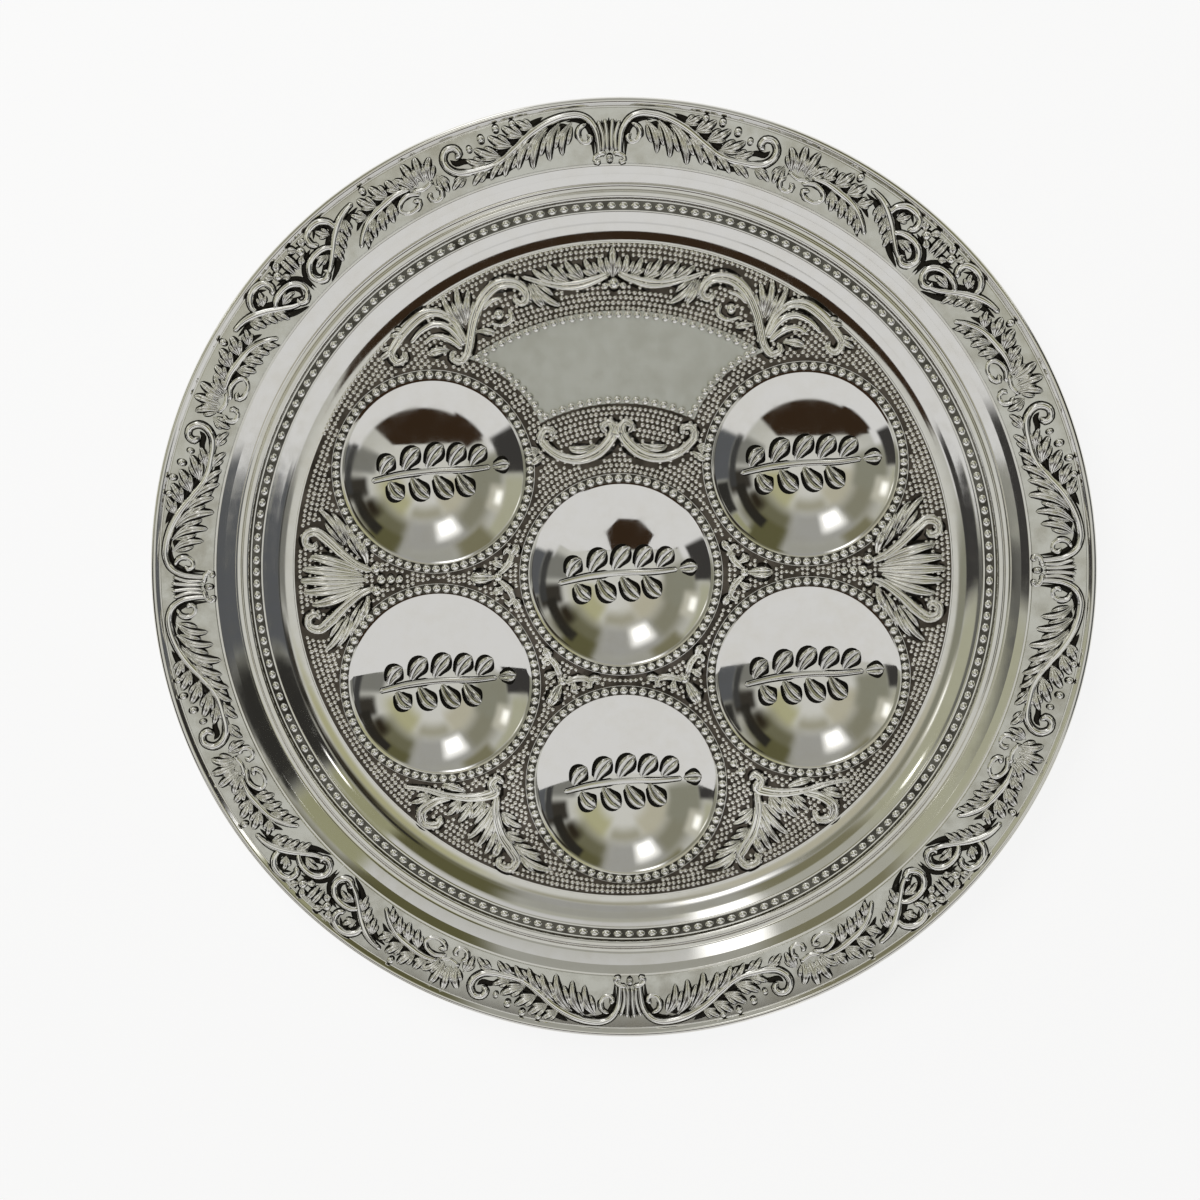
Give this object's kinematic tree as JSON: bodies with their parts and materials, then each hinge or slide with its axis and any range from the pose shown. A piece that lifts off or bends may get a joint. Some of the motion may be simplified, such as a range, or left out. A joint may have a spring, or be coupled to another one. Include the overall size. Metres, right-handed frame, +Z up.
{
  "type": "seder plate",
  "caption": "Round silver-plated seder plate with hollow dishes in a stippled panel, beaded rings, a plain cartouche and an acanthus scroll border on its broad rim",
  "frame": {"origin": "middle of the flat underside", "axes": "+Z up out of the dishes, +Y towards the cartouche at the top of the plate, +X to the right"},
  "size_m": [0.38, 0.38, 0.0245],
  "materials": {
    "polished_silver_plate": "silver plated and polished",
    "antiqued_silver_plate": "silver plated, recesses oxidised dark and high points polished",
    "satin_silver_plate": "silver plated, satin",
    "brass_wire": "drawn wire"
  },
  "bodies": {
    "root": {"tray": "polished_silver_plate", "rim_wire": "brass_wire", "rim_border_top": "antiqued_silver_plate", "rim_border_right": "antiqued_silver_plate", "rim_border_bottom": "antiqued_silver_plate", "rim_border_left": "antiqued_silver_plate", "step_bead_wire": "antiqued_silver_plate", "dish_panel": "antiqued_silver_plate", "dish_top_left": "polished_silver_plate", "dish_top_right": "polished_silver_plate", "dish_centre": "polished_silver_plate", "dish_lower_left": "polished_silver_plate", "dish_lower_right": "polished_silver_plate", "dish_bottom": "polished_silver_plate", "dish_beads_top_left": "antiqued_silver_plate", "dish_beads_top_right": "antiqued_silver_plate", "dish_beads_centre": "antiqued_silver_plate", "dish_beads_lower_left": "antiqued_silver_plate", "dish_beads_lower_right": "antiqued_silver_plate", "dish_beads_bottom": "antiqued_silver_plate", "cartouche_plate": "satin_silver_plate", "cartouche_beads": "antiqued_silver_plate", "top_swag": "antiqued_silver_plate", "double_scroll": "antiqued_silver_plate", "palmette_left": "antiqued_silver_plate", "palmette_right": "antiqued_silver_plate", "spray_lower_left": "antiqued_silver_plate", "spray_lower_right": "antiqued_silver_plate", "gap_spray_left": "antiqued_silver_plate", "gap_spray_right": "antiqued_silver_plate", "gap_spray_lower_left": "antiqued_silver_plate", "gap_spray_lower_right": "antiqued_silver_plate"}
  },
  "joints": []
}
